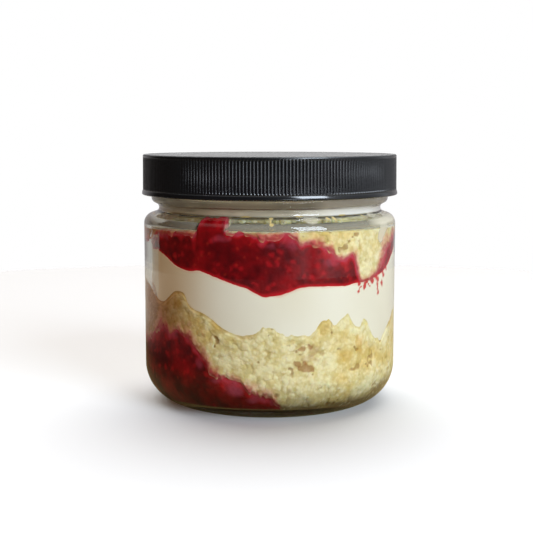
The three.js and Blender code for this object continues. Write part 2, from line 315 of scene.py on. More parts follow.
def wall_point(run, depth):
    """Radius and height of a point that lies a depth inside the inner wall."""
    r = np.interp(run, INSIDE_RUN, INSIDE[:, 0])
    z = np.interp(run, INSIDE_RUN, INSIDE[:, 1])
    middle = (INSIDE_RUN[:-1] + INSIDE_RUN[1:]) / 2
    along = np.diff(INSIDE, axis=0) / np.maximum(INSIDE_STEP, 1e-6)[:, None]
    along_r = np.interp(run, middle, along[:, 0])
    along_z = np.interp(run, middle, along[:, 1])
    return r - depth * along_z, z + depth * along_r


def add_object(name, data):
    made = bpy.data.objects.new(name, data)
    bpy.context.scene.collection.objects.link(made)
    return made


def make_object(name, points, faces, colours=None):
    """One mesh piece that rides on the jar."""
    mesh = bpy.data.meshes.new(name)
    mesh.from_pydata((np.asarray(points) * MM).tolist(), [], faces)
    mesh.validate()
    mesh.shade_smooth()
    if colours is not None:
        layer = mesh.color_attributes.new("tint", "FLOAT_COLOR", "POINT")
        rgba = np.ones((len(points), 4), np.float32)
        rgba[:, : np.shape(colours)[1]] = colours
        layer.data.foreach_set("color", rgba.ravel())
    made = add_object(name, mesh)
    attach(made, "root")
    return made


def place(deg, r, z):
    a = np.radians(deg)
    return np.stack([r * np.sin(a), -r * np.cos(a), z], -1)


def grid_quads(columns, rows):
    """Faces of a grid that wraps round the jar."""
    grid = np.arange(columns * rows).reshape(columns, rows)
    right = np.roll(grid, -1, axis=0)
    return np.stack([grid[:, :-1], right[:, :-1], right[:, 1:], grid[:, 1:]], -1).reshape(-1, 4)


def closed_faces(columns, rows):
    """Faces of such a grid, and of the fans that close its first and last rows."""
    first = np.arange(columns) * rows
    following = np.roll(first, -1)
    foot = np.full(columns, columns * rows)
    low_fan = np.stack([following, first, foot], 1)
    high_fan = np.stack([first + rows - 1, following + rows - 1, foot + 1], 1)
    return grid_quads(columns, rows).tolist() + low_fan.tolist() + high_fan.tolist()


def turned(name, profile, angles, radius_at=None):
    """A turned solid from a profile that starts and ends on the axis."""
    shape = (len(angles), len(profile) - 2)
    deg = np.broadcast_to(angles[:, None], shape)
    r = np.broadcast_to(profile[1:-1, 0], shape)
    z = np.broadcast_to(profile[1:-1, 1], shape)
    if radius_at is not None:
        r = radius_at(deg, r, z)
    ends = [[0, 0, profile[0, 1]], [0, 0, profile[-1, 1]]]
    points = np.concatenate([place(deg, r, z).reshape(-1, 3), ends])
    return make_object(name, points, closed_faces(*shape))


def glass_profile():
    t = np.linspace(0, 1, 14)[1:]
    recess = np.stack([FOOT_RECESS_RADIUS * t, FOOT_RECESS_DEPTH * (1 - t * t)], 1)
    heel = arc(FOOT_RADIUS, HEEL_HEIGHT, JAR_RADIUS - FOOT_RADIUS, HEEL_HEIGHT, -90, 0, 28)
    shoulder_centre = JAR_RADIUS - SHOULDER_ROUND
    shoulder = arc(shoulder_centre, SHOULDER_Z, SHOULDER_ROUND, SHOULDER_ROUND, 0, SHOULDER_TURN, 16)
    groove = arc(GROOVE_RADIUS + GROOVE_ROUND, GROOVE_Z, GROOVE_ROUND, GROOVE_ROUND, 240, 120, 14)
    bead_round = BEAD_RADIUS - GROOVE_RADIUS - GROOVE_ROUND / 2
    bead = arc(BEAD_RADIUS - bead_round, BEAD_LOW_Z + bead_round, bead_round, bead_round, -50, 0, 8)
    over_bead = [[BEAD_RADIUS, BEAD_HIGH_Z], [FINISH_RADIUS, BEAD_HIGH_Z + 0.4]]
    rim_z = RIM_Z - RIM_ROUND
    rim_outside = arc(FINISH_RADIUS - RIM_ROUND, rim_z, RIM_ROUND, RIM_ROUND, 0, 90, 6)
    rim_inside = arc(MOUTH_RADIUS + RIM_ROUND, rim_z, RIM_ROUND, RIM_ROUND, 90, 180, 6)
    straight = [[JAR_RADIUS, z] for z in np.linspace(HEEL_HEIGHT, SHOULDER_Z, 8)[1:-1]]
    sag = FLOOR_MIDDLE_Z - FLOOR_EDGE_Z
    bottom = [[INNER_HEEL_RADIUS * share, FLOOR_MIDDLE_Z - sag * share**2] for share in (0.9, 0.6, 0.3)]
    outside = [recess, heel, straight, shoulder, groove, bead, over_bead, rim_outside, rim_inside]
    foot_middle, floor_middle = [[0, FOOT_RECESS_DEPTH]], [[0, FLOOR_MIDDLE_Z]]
    return np.concatenate([foot_middle, *outside, INSIDE[-2::-1], bottom, floor_middle])


def cap_profile():
    under = CAP_TOP_Z - CAP_TOP_WALL
    root = CAP_RADIUS - RIB_DEPTH
    bore = root - CAP_WALL
    top = CAP_RADIUS - CAP_TAPER
    inside = [[0, under], [20, under], [bore - 0.5, under], [bore, under - 0.5]]
    inside += [[bore, CAP_BASE_Z + 0.3], [bore + 0.3, CAP_BASE_Z]]
    lip_centre, lip_z = CAP_LIP_RADIUS - CAP_LIP_ROUND, CAP_BASE_Z + CAP_LIP_DROP
    lip_low = arc(lip_centre, lip_z, CAP_LIP_ROUND, CAP_LIP_DROP, -90, -15, 3)
    lip_high = arc(lip_centre, lip_z, CAP_LIP_ROUND, RIB_LOW_Z - lip_z, 0, 70, 8)
    heights = [*np.linspace(RIB_LOW_Z, RIB_LOW_Z + RIB_FADE, 4)]
    heights += [*np.linspace(RIB_HIGH_Z - RIB_FADE, RIB_HIGH_Z, 4)]
    ribs = [[CAP_RADIUS - RIB_DEPTH / 3, RIB_LOW_Z - 0.05]]
    ribs += [[np.interp(z, (RIB_LOW_Z, RIB_HIGH_Z), (CAP_RADIUS, top)), z] for z in heights]
    ribs += [[top, RIB_HIGH_Z + 0.1]]
    edge_z = CAP_TOP_Z - CAP_EDGE_ROUND
    edge = arc(top - CAP_EDGE_ROUND, edge_z, CAP_EDGE_ROUND, CAP_EDGE_ROUND, 0, 90, 5)
    panel = [[CAP_PANEL_RADIUS + 0.2, CAP_TOP_Z], [CAP_PANEL_RADIUS, CAP_TOP_Z - CAP_PANEL_DEPTH * 0.3]]
    sunk_radii = (CAP_PANEL_RADIUS - 0.3, CAP_PANEL_RADIUS - 1, 30, 15, 5, 0)
    panel += [[r, CAP_TOP_Z - CAP_PANEL_DEPTH] for r in sunk_radii]
    return np.concatenate([inside, lip_low, lip_high, ribs, edge, panel])


def ribbed(deg, r, z):
    """Cuts the grooves between the ribs, fading out at both ends."""
    fade = within(z, RIB_LOW_Z, RIB_LOW_Z + RIB_FADE, RIB_HIGH_Z - RIB_FADE, RIB_HIGH_Z)
    across = 2 * ((deg * RIB_COUNT / 360) % 1) - 1
    groove = 1 - np.sqrt(1 - across**2)
    outside = r > CAP_RADIUS - CAP_TAPER - 0.01
    return r - np.where(outside, RIB_DEPTH * fade * groove, 0)


def air_gap(deg, z):
    """How far the upper filling stands back from the glass at the jar's left and right."""
    left = within(deg, -128, -112, -64, -56) * smooth(33, 43, z)
    right = within(deg, 76, 82, 112, 130) * smooth(48, 56, z)
    return AIR_GAP * np.maximum(left, right)


def column_angles(columns):
    """Angles round the jar, closer together on the side that faces the camera."""
    turn = np.linspace(-np.pi, np.pi, columns, endpoint=False)
    return np.degrees(turn - FRONT_CROWDING * np.sin(turn))


def along_wall(deg):
    """The way round the inner wall to an angle, in millimetres from the back."""
    return (deg + 180) * DEGREE


def layer_piece(name, low, high, rows, depth, colour, crown=None):
    """A layer's solid between two heights. Its top is nearly flat, or else follows a crown."""
    deg = column_angles(LAYER_COLUMNS)
    low_run, high_run = wall_run(low(deg)), wall_run(high(deg))
    there = high_run - low_run > THREAD_HEIGHT
    high_run = np.maximum(high_run, low_run + THREAD_HEIGHT)
    steps = np.concatenate([[0, EDGE_STEP], np.linspace(0, 1, rows - 2)[1:-1], [1 - EDGE_STEP, 1]])
    run = low_run[:, None] + (high_run - low_run)[:, None] * steps
    wide = np.broadcast_to(deg[:, None], run.shape)
    z_wall = np.interp(run, INSIDE_RUN, INSIDE[:, 1])
    s = along_wall(wide)
    r, z = wall_point(run, np.where(there[:, None], depth(wide, s, z_wall), THREAD_DEPTH))
    tint = colour(wide, s, z_wall)
    if crown is None:
        shares = CLOSING_SHARES
        top_z = z[:, -1:].mean() + (z[:, -1:] - z[:, -1:].mean()) * shares**2
    else:
        crowded = np.linspace(CROWN_EDGE, CLOSING_SHARES[0] ** CROWN_CROWDING, CROWN_ROWS)
        shares = 1 - crowded ** (1 / CROWN_CROWDING)
        top_z = crown(wide[:, :1], r[:, -1:] * shares, z[:, -1:], shares)
    top_r = r[:, -1:] * shares
    foot_shares = CLOSING_SHARES[::-1]
    foot_r = r[:, :1] * foot_shares
    foot_z = z[:, :1].min() + (z[:, :1] - z[:, :1].min()) * foot_shares**2
    r = np.concatenate([foot_r, r, top_r], 1)
    z = np.concatenate([foot_z, z, top_z], 1)
    first = np.repeat(tint[:, :1], len(foot_shares), 1)
    last = np.repeat(tint[:, -1:], len(shares), 1)
    if crown is not None:
        fade = np.broadcast_to(smooth(1, 0.9, shares), top_r.shape)
        last = mix(last, np.append(CAKE_PALE, 1), fade)
    tint = np.concatenate([first, tint, last], 1)
    points = place(deg[:, None], r, z).reshape(-1, 3)
    ends = [[0, 0, foot_z[:, 0].mean()], [0, 0, top_z[:, -1].mean()]]
    tints = np.concatenate([tint.reshape(-1, tint.shape[-1]), [tint[0, 0], tint[0, -1]]])
    faces = closed_faces(LAYER_COLUMNS, r.shape[1])
    return make_object(name, np.concatenate([points, ends]), faces, tints)


# Colours of the food, as linear light
CAKE_PALE = linear(243, 233, 188)
CAKE_GOLD = linear(236, 212, 142)
# The pit and hollow colours hold painted shade as well as the cake's own brown and gold
CAKE_PIT_TINT_AND_SHADE = linear(176, 140, 82)
CAKE_HOLLOW_TINT_AND_SHADE = linear(196, 172, 104)
CAKE_SYRUP = linear(190, 146, 52)
CAKE_AMBER = linear(226, 184, 92)
CAKE_HEEL = linear(158, 128, 84)
# Painted shade for the cake on the jar's left side
CAKE_PAINTED_SHADE = linear(174, 122, 56)
CAKE_TOAST = linear(180, 134, 90)
CREAM_WHITE = linear(242, 238, 220)
CREAM_WARM = linear(236, 230, 208)
# Painted shade for the cream on the jar's left side
CREAM_PAINTED_SHADE = linear(232, 212, 178)
# Painted light for the cream film on the jar's right side
FILM_PAINTED_LIGHT = linear(252, 252, 248)
RASPBERRY_DARK = linear(86, 4, 11)
RASPBERRY_RED = linear(142, 10, 18)
RASPBERRY_BRIGHT = linear(200, 24, 34)
RASPBERRY_STAIN = linear(196, 66, 82)
RASPBERRY_HAZE = linear(184, 74, 96)
RASPBERRY_BLUSH = linear(228, 172, 146)
SEED_ORANGE = linear(190, 52, 36)
# Painted reflection: the raspberry as the neck's glass shows it
REFLECTED_MAROON = linear(104, 58, 52)

lower_raspberry_top = round_the_jar(LOWER_RASPBERRY_TOP)
lower_cake_top = round_the_jar(LOWER_CAKE_TOP)
cream_top = round_the_jar(CREAM_TOP)
upper_raspberry_top = round_the_jar(UPPER_RASPBERRY_TOP)
upper_cake_top = round_the_jar(UPPER_CAKE_TOP)


def crumbly(height, reach, seed):
    """Roughens an outline where crumbs break it."""

    def rough(deg):
        s = along_wall(deg)
        coarse = cloud(s, s * 0, 2.4, seed) - 0.5
        fine = cloud(s, s * 0, 0.9, seed + 1) - 0.5
        return height(deg) + reach * (coarse + 0.6 * fine)

    return rough


def from_seam(height, deg, z):
    """How far a spot lies from an outline, also where that is steep."""
    step = 2.5
    slope = (height(deg + step) - height(deg - step)) / (2 * step * DEGREE)
    return np.abs(z - height(deg)) / np.sqrt(1 + slope**2)


rough_cake_lower = crumbly(lower_cake_top, 1.2, 45)
rough_raspberry_lower = crumbly(lower_raspberry_top, 2.0, 41)
rough_raspberry_upper = crumbly(upper_raspberry_top, 1.5, 43)


def cream_foot(deg):
    """The cream's lower edge: broken by crumbs, but smooth at the left where syrup has soaked in."""
    return lower_cake_top(deg) + (rough_cake_lower(deg) - lower_cake_top(deg)) * smooth(-14, -4, deg)


def rounded(near, reach):
    """How far a rounded grain falls away, from 0 at its crest to 1 at its edge."""
    return 1 - np.sqrt(1 - np.clip(near / reach, 0, 1) ** 2)


def crumb_relief(s, z):
    """The cake's relief: 0 on the crests of its clumps and crumbs, about 1 in the hollows between."""
    aside = 0.9 * (cloud(s, z, 1.6, 21) - 0.5)
    upward = 0.9 * (cloud(s, z, 1.6, 23) - 0.5)
    clump, _ = cells(s + 1.5 * aside, z + 1.5 * upward, 4.0, 1)
    crumb, crumb_tag = cells(s - aside, z + upward, 2.2, 2)
    return 0.45 * rounded(clump, 3.2) + 0.4 * rounded(crumb, 1.75) + 0.15 * crumb_tag


def crumb_pits(s, z):
    """Where the cake is open: small deep holes between its crumbs."""
    coarse = cloud(s + 0.8 * cloud(s, z, 1.1, 26), z, 3.4, 25)
    return smooth(0.76, 0.86, 0.62 * coarse + 0.38 * cloud(s, z, 1.1, 27))


def cake_depth(low, high):
    """The cake's crests stand deep in the glass, so that it touches. It is smoother along its seams."""

    def depth(deg, s, z):
        foot = np.maximum(low(deg), FOOD_FOOT_Z)
        away = smooth(0, SEAM_REACH, z - foot) * smooth(0, SEAM_REACH, high(deg) - z)
        pressed = CAKE_CREST + crumb_relief(s, z) * CRUMB_RISE + PIT_RISE * crumb_pits(s, z)
        return SEAM_DEPTH + (np.minimum(pressed, CAKE_LEAST) - SEAM_DEPTH) * away + air_gap(deg, z)

    return depth


def stroke(s, z, points, width, rough, seed):
    """How much of a brush stroke along a line of (angle, height) points covers each spot."""
    line = [(along_wall(deg), height) for deg, height in points]
    away = np.full(s.shape, np.inf)
    for (s0, z0), (s1, z1) in zip(line, line[1:]):
        step_s, step_z = s1 - s0, z1 - z0
        along = ((s - s0) * step_s + (z - z0) * step_z) / (step_s**2 + step_z**2)
        along = np.clip(along, 0, 1)
        away = np.minimum(away, np.hypot(s - s0 - along * step_s, z - z0 - along * step_z))
    ragged = rough * (cloud(s, z, 0.9, seed) - 0.5) + rough * (cloud(s, z, 2.2, seed + 1) - 0.5)
    return 1 - smooth(width * 0.6, width, away + ragged)


def from_spot(deg, z, at, height, wide, tall):
    """How far a place lies from a spot's middle, as a share of the spot's half size."""
    return np.hypot((deg - at) * DEGREE / wide, (z - height) / tall)


def spotted(tint, deg, z, spots, colour, near, far, ragged):
    """Lays spots of one colour on a tint. They fade from near to far, as shares of their half size."""
    for at, height, wide, tall, strength in spots:
        away = from_spot(deg, z, at, height, wide, tall) + ragged
        tint = mix(tint, colour, strength * (1 - smooth(near, far, away)))
    return tint


def cake_ground(s, z):
    """The cake's tint: pale crests, golden hollows and brown pits. The hollows and pits are darker partly
    by their own colour and partly by painted shade.
    """
    golden = smooth(0.4, 0.75, cloud(s, z, 10, 31) * 0.65 + cloud(s, z, 3.5, 32) * 0.35)
    tint = mix(CAKE_PALE, CAKE_GOLD, 0.8 * golden)
    _, tag = cells(s, z, 1.3, 33)
    tint = tint * (0.95 + 0.08 * tag)[..., None]
    # Own colour and painted shade: the hollows between crumbs are darker and more golden
    tint = mix(tint, CAKE_HOLLOW_TINT_AND_SHADE, 0.65 * smooth(0.35, 0.85, crumb_relief(s, z)))
    # Own colour and painted shade: the pits are darker brown
    return mix(tint, CAKE_PIT_TINT_AND_SHADE, 0.7 * crumb_pits(s, z))


def with_syrup(tint, deg, s, below):
    """Soaks the cake below the cream, most of all at the left."""
    soaked = 1.6 * cloud(s, s * 0, 5, 36) ** 2 + within(deg, -60, -45, -30, -12)
    reached = 1 - smooth(0.3 * soaked, soaked + 0.1, below)
    return mix(tint, CAKE_SYRUP, 0.5 * smooth(0.3, 0.8, soaked) * reached)


def with_heel_rim(tint, deg, s, z):
    """The brown translucent rim along the jar's heel, with small pale bubbles."""
    rim_z = 8 + 4.5 * within(deg, 38, 75, 100, 130)
    heel = smooth(rim_z + 1.5, rim_z - 1.5, z + 2 * cloud(s, z, 2.5, 37))
    near, tag = cells(s, z, 1.1, 30)
    bubbles = (1 - smooth(0.1, 0.45, near)) * (tag > 0.7)
    return mix(tint, mix(CAKE_HEEL, CAKE_PALE, bubbles), 0.8 * heel)


def with_stain(tint, deg, s, z, outline, reach):
    """Raspberry soaked into the cake beside it: a pink stain, and a paler blush farther out."""
    spread = 0.25 + 1.1 * cloud(s, z, 1.7, 34) + 1.3 * cloud(s, s * 0, 7, 38) ** 2
    spread = spread * (1 + 1.2 * within(deg, 55, 62, 80, 90))
    spread = spread * smooth(6, 9, outline(deg)) + 0.01
    gap = from_seam(outline, deg, z) / (reach * spread)
    tint = mix(tint, RASPBERRY_BLUSH, 0.8 * (1 - smooth(0.3, 1.7, gap)))
    gap = gap + 0.5 * (cloud(s, z, 0.9, 39) - 0.5)
    return mix(tint, RASPBERRY_STAIN, 0.9 * (1 - smooth(0, 0.9, gap)))


def cake_colour(edge, stain_from, syrup_under, reach, toast):
    """The cake's tint. Its fourth value is small along the seams, where the cake scatters less light."""

    def colour(deg, s, z):
        tint = cake_ground(s, z)
        crumbled = 1.1 * (cloud(s, z, 1.9, 35) - 0.5) + 0.7 * (cloud(s, z, 0.8, 40) - 0.5)
        tint = spotted(tint, deg, z, toast, CAKE_TOAST, 0.7, 1.1, crumbled)
        tint = spotted(tint, deg, z, AMBER, CAKE_AMBER, 0.5, 1.2, 0.8 * (cloud(s, z, 1.6, 29) - 0.5))
        tint = with_syrup(tint, deg, s, syrup_under(deg) - z)
        tint = with_heel_rim(tint, deg, s, z)
        # Painted shade: the cake is darker and browner round the jar's left side, away from the window
        tint = mix(tint, CAKE_PAINTED_SHADE, within(deg, -104, -76, -60, -25))
        tint = with_stain(tint, deg, s, z, stain_from, reach)
        seam = np.minimum(np.abs(edge(deg) - z), np.abs(syrup_under(deg) - z))
        return np.concatenate([tint, smooth(-1, 1.6, seam)[..., None]], -1)

    return colour


# Browned bits: angle, height, half width, half height, strength
TOAST_LOWER = [
    (14.5, 25.4, 2.2, 1.3, 0.75), (20, 24.4, 3, 1.8, 0.35), (12, 20.6, 2, 1.1, 0.75),
    (15.5, 18.6, 2.4, 1.3, 0.75), (17, 21.5, 3, 1.4, 0.3), (100, 22, 2.4, 1.2, 0.7),
    (-130, 27, 2, 1.4, 0.7), (170, 18, 2.2, 1.1, 0.8),
]
# Translucent amber lumps, the same way
AMBER = [
    (-44, 38.4, 2.8, 2.6, 0.6), (43, 24.6, 2.2, 3.6, 0.6), (35, 22, 2.6, 3, 0.35), (-110, 30, 3, 2, 0.5),
]
TOAST_UPPER = [(23.5, 59.4, 0.9, 0.5, 0.9), (26, 57.6, 0.5, 0.5, 0.8), (150, 60, 1.2, 0.6, 0.8)]
# Pink haze in the raspberry, the same way
HAZE_LOWER = [
    (-16, 11.2, 4.2, 2.4, 0.75), (-24, 14.2, 2.6, 1.6, 0.5), (-8, 8.2, 2.6, 1.2, 0.6),
    (-32, 19, 1.6, 2.2, 0.45), (-47, 27, 2, 1.6, 0.5), (-150, 9, 4, 2, 0.6),
]
HAZE_UPPER = [
    (-22, 60.6, 3.4, 1.4, 0.35), (9, 58.8, 2.6, 2, 0.3), (28, 53, 3, 1.6, 0.3), (160, 55, 4, 1.6, 0.4),
]
# Raspberry smeared over the cream at the right: lines of (angle, height), and half widths
STREAKS = [
    ([(42, 46.2), (42.6, 44.8)], 0.8), ([(43.4, 43.9), (42.4, 42.6)], 0.7),
    ([(45.5, 46.6), (47.5, 45.6)], 0.9), ([(46.4, 44.6), (46.2, 43.6)], 0.6),
    ([(50, 46.8), (51.8, 45.4)], 0.9), ([(54, 47.5), (56.5, 45.2)], 0.9),
    ([(56, 43.8), (56.6, 41.2)], 0.85), ([(60.5, 48.6), (61.5, 46.4)], 0.7), ([(64, 50), (65, 48)], 0.6),
    ([(53, 46.9), (58, 48)], 0.9), ([(49, 44.4), (49.6, 43.8)], 0.6), ([(60, 44.4), (60.4, 43.4)], 0.6),
]


def streaked(s, z):
    """Where raspberry streaks run over the cream."""
    over = np.zeros(s.shape)
    for index, (points, width) in enumerate(STREAKS):
        over = np.maximum(over, stroke(s, z, points, width, 0.9, 71 + 2 * index))
    return over


def jam_depth(deg, s, z):
    return JAM_DEPTH + 0.12 * cloud(s, z, 1.6, 57) + 0.08 * cloud(s, z, 0.7, 58) + air_gap(deg, z)


def jam_ground(s, z):
    """Crushed raspberry: dark pulp with brighter bits and a few orange seeds."""
    aside = 1.2 * (cloud(s, z, 1.5, 59) - 0.5)
    broad = 0.45 * cloud(s, z, 9, 51) + 0.35 * cloud(s, z, 3.4, 54) + 0.2 * cloud(s, z, 1.3, 60)
    tint = mix(RASPBERRY_DARK, RASPBERRY_RED, smooth(0.25, 0.75, broad))
    near, tag = cells(s + aside, z - aside, 2.6, 5)
    tint = mix(tint, RASPBERRY_BRIGHT, 0.5 * (1 - smooth(0.1, 1.5, near)) * smooth(0.7, 0.95, tag))
    fleck, fleck_tag = cells(s + aside, z, 1.7, 55)
    return mix(tint, SEED_ORANGE, 0.3 * (1 - smooth(0.1, 0.8, fleck)) * smooth(0.9, 0.95, fleck_tag))


def jam_colour(crisp, soft, hazes):
    """The raspberry's tint, bright along its crisp edge and pink and hazy along its soft one."""

    def colour(deg, s, z):
        tint = jam_ground(s, z)
        line = np.abs(z - crisp(deg))
        tint = mix(tint, RASPBERRY_BRIGHT, 0.9 * (1 - smooth(0.1, 0.7 + 1.3 * cloud(s, z, 4, 53), line)))
        seam = from_seam(soft, deg, z)
        gap = seam / (0.4 + 2.4 * cloud(s, z, 2.6, 56) ** 2)
        tint = mix(tint, RASPBERRY_BRIGHT, 0.6 * (1 - smooth(0.5, 2.4, gap)))
        tint = mix(tint, RASPBERRY_STAIN, 0.75 * (1 - smooth(0, 1.1, gap)))
        haze = 1 - smooth(0.2, 1, seam / (0.1 + 4 * cloud(s, z * 0.5, 5, 63) ** 2))
        haze = haze * smooth(0.3, 0.7, cloud(s, z, 1.5, 64))
        tint = mix(tint, RASPBERRY_HAZE, 0.45 * haze)
        return spotted(tint, deg, z, hazes, RASPBERRY_HAZE, 0.2, 1.2, 0.7 * (cloud(s, z, 2.2, 65) - 0.5))

    return colour


def cream_depth(deg, _, z):
    behind = smooth(-0.1, 0.2, z - cream_top(deg))
    edge = z - cream_foot(deg)
    return CREAM_DEPTH + 0.24 * behind + 0.05 * (1 - smooth(0, 0.6, edge)) + air_gap(deg, z)


def cream_colour(deg, s, z):
    tint = mix(CREAM_WHITE, CREAM_WARM, cloud(s, z, 14, 61))
    # Painted shade: the cream is darker and warmer round the jar's left side, away from the window
    tint = mix(tint, CREAM_PAINTED_SHADE, 0.8 * within(deg, -170, -120, -50, -18))
    near_jam = (cream_top(deg) - z) / (0.3 + 0.9 * cloud(s, z, 3, 62))
    tint = mix(tint, RASPBERRY_BLUSH, 0.5 * (1 - smooth(0, 1, near_jam)))
    over = streaked(s, z)
    tint = mix(tint, RASPBERRY_BLUSH, 0.5 * smooth(0, 0.3, over))
    return mix(tint, RASPBERRY_BRIGHT, 0.9 * smooth(0.3, 0.8, over))


def cake_crown(deg, r, edge_z, shares):
    """The bumpy top of the cake, rising from the glass towards the middle."""
    x, y = r * np.sin(np.radians(deg)), r * np.cos(np.radians(deg))
    dome = UPPER_CAKE_MIDDLE_Z - (UPPER_CAKE_MIDDLE_Z - edge_z) * smooth(0.82, 1, shares)
    near, tag = cells(x + 200, y + 200, 5, 6)
    crumb, crumb_tag = cells(x + 200, y + 200, 2, 7)
    bumps = 0.7 * tag - 0.05 * near**2 + 0.4 * crumb_tag - 0.35 * crumb**2
    return dome + bumps * smooth(1, 0.94, shares)


# Cream and crumbs on the glass above the filling: angle, height, half width, half height, cover
CREAM_SPOTS = [
    (18.8, 65.1, 3.6, 1.1, 0.6), (-53.6, 65, 3.6, 1.2, 0.55), (59, 64.8, 3.8, 1.4, 0.65),
    (62.5, 63.2, 2.4, 2, 0.6), (-30, 68.4, 9, 0.8, 0.5), (40, 68.6, 9, 1, 0.5), (120, 64.8, 3, 1, 0.6),
    (-140, 64.6, 4, 1.2, 0.6),
]
CRUMB_SPOTS = [
    (0.5, 65.6, 0.7, 0.5, 0.95), (0.3, 64.8, 0.35, 0.8, 0.95), (0.8, 64, 0.8, 0.35, 0.95),
    (28, 65.3, 0.8, 0.6, 0.95), (31.4, 65.2, 0.7, 0.7, 0.95), (51, 65.2, 0.5, 0.6, 0.95),
    (-12, 66.6, 2.4, 0.6, 0.7), (14, 66.9, 1.6, 0.5, 0.7), (38, 66.8, 2, 0.5, 0.7),
    (-66, 65.4, 0.8, 0.6, 0.9), (84, 65, 0.9, 0.6, 0.9), (150, 66, 1.2, 0.6, 0.9),
    (-170, 65.2, 0.8, 0.8, 0.9), (-110, 66.2, 1, 0.5, 0.9),
]
CREAM_DROP = [(60.5, 64), (60, 62), (58, 60)]
FILM_LOW_Z = 57.5
FILM_HIGH_Z = 72.6
REFLECTION_LINE_Z = 70.7
FILM_LEAST_COVER = 0.03


def spots_cover(deg, z, spots, rough):
    """How much of each place a list of round spots covers."""
    cover = np.zeros(deg.shape)
    for at, height, wide, tall, most in spots:
        away = from_spot(deg, z, at, height, wide, tall) + rough
        cover = np.maximum(cover, most * (1 - smooth(0.75, 1.1, away)))
    return cover


def film_cover(deg, s, z, rough):
    """How much of the glass the smeared cream covers."""
    smeared = 0.6 * cloud(s, z * 4, 9, 82) + 0.4 * cloud(s, z * 3, 3.5, 83)
    thick = 0.45 + 0.5 * within(deg, 15, 45, 130, 170)
    cover = smooth(66.2, 67.4, z) * np.minimum(thick + 0.5 * smeared, 1)
    lower_haze = 0.3 * within(z, 62.8, 63.1, 63.8, 64.2)
    right_haze = 0.7 * within(z, 62.9, 63.2, 64, 65)
    haze = lower_haze + right_haze * within(deg, 48, 62, 100, 120)
    haze = haze * np.maximum(smooth(-33.2, -34.2, deg), smooth(-20.2, -19.2, deg))
    cover = np.maximum(np.maximum(cover, haze), spots_cover(deg, z, CREAM_SPOTS, rough))
    return np.maximum(cover, 0.62 * stroke(s, z, CREAM_DROP, 2.5, 0.4, 84))


def painted_reflection_line(deg, s, z):
    """A thin dark painted reflection of the raspberry, lying as a line round the neck, strongest in
    front.
    """
    blotches = smooth(0.4, 0.7, cloud(s, z * 0, 9, 85))
    stained = np.maximum(within(deg, -50, -25, 15, 45), blotches)
    line = 1 - smooth(0.25, 0.9, np.abs(z - REFLECTION_LINE_Z))
    return line * stained * (0.6 + 0.4 * cloud(s, z * 2, 4, 86))


def film_tint(deg, z, crumbs, reflected_maroon):
    """Cream with painted light and shade: whiter at the right where light falls, darker at the left, with
    its crumbs and the dark line of a painted reflection.
    """
    # Painted light: the cream is whiter on the jar's right side, above the shoulder
    pale = within(deg, 5, 45, 130, 170) * smooth(65.6, 66.4, z)
    tint = mix(mix(CREAM_WARM, FILM_PAINTED_LIGHT, pale), CAKE_GOLD, smooth(0.2, 0.6, crumbs))
    # Painted shade: the cream is darker on the jar's left side
    tint = tint * (1 - 0.4 * within(deg, -160, -120, -55, -20))[..., None]
    # Painted reflection: a dark maroon line round the neck
    return mix(tint, REFLECTED_MAROON, 0.9 * reflected_maroon)


def make_film():
    """A thin smeared film of cream on the inside of the neck and shoulder, with crumbs stuck in it,
    painted light and shade, and a painted reflection line.
    """
    shape = (FILM_COLUMNS, FILM_ROWS)
    run = np.linspace(wall_run(FILM_LOW_Z), wall_run(FILM_HIGH_Z), FILM_ROWS)
    run = np.broadcast_to(run, shape)
    deg = np.broadcast_to(column_angles(FILM_COLUMNS)[:, None], shape)
    s = along_wall(deg)
    z_wall = np.interp(run, INSIDE_RUN, INSIDE[:, 1])
    rough = 0.5 * (cloud(s, z_wall, 1.2, 81) - 0.5)
    crumbs = spots_cover(deg, z_wall, CRUMB_SPOTS, rough)
    # Painted reflection of the raspberry in the neck, which also covers the glass
    reflected_maroon = painted_reflection_line(deg, s, z_wall)
    cover = np.maximum(film_cover(deg, s, z_wall, rough), crumbs)
    cover = np.maximum(cover, 0.8 * reflected_maroon).reshape(-1, 1)
    tints = np.concatenate([film_tint(deg, z_wall, crumbs, reflected_maroon).reshape(-1, 3), cover], 1)
    points = place(deg, *wall_point(run, FILM_DEPTH)).reshape(-1, 3)
    quads = grid_quads(*shape)
    quads = quads[cover[quads, 0].max(axis=1) > FILM_LEAST_COVER]
    used = np.unique(quads)
    again = np.zeros(len(points), int)
    again[used] = np.arange(len(used))
    piece = make_object("cream_smears_and_painted_light", points[used], again[quads].tolist(), tints[used])
    piece.data.materials.append(film_material())


def principled(name, **values):
    """A material and its shader, with values that are the same all over."""
    material = bpy.data.materials.new(name)
    material.use_nodes = True
    shader = material.node_tree.nodes["Principled BSDF"]
    for key, value in values.items():
        shader.inputs[key.replace("_", " ")].default_value = value
    return material, shader


def feed(owner, socket, value):
    """Gives a socket another node's output, or else a fixed value."""
    if isinstance(value, bpy.types.NodeSocket):
        owner.node_tree.links.new(value, socket)
    else:
        socket.default_value = value


def node(owner, kind, **inputs):
    """A new node in a material or in the world."""
    made = owner.node_tree.nodes.new("ShaderNode" + kind)
    for key, value in inputs.items():
        feed(owner, made.inputs[key.replace("_", " ")], value)
    return made


def reckoned(owner, kind, operation, *values):
    """A node that does one operation on values in their order."""
    made = node(owner, kind)
    made.operation = operation
    for socket, value in zip(made.inputs, values):
        feed(owner, socket, value)
    return made


def blended(owner, first, second, share):
    """A colour between two others."""
    made = node(owner, "Mix")
    made.data_type = "RGBA"
    for key, value in (("Factor", share), ("A", first), ("B", second)):
        feed(owner, made.inputs[key], value)
    return [out for out in made.outputs if out.type == "RGBA"][0]


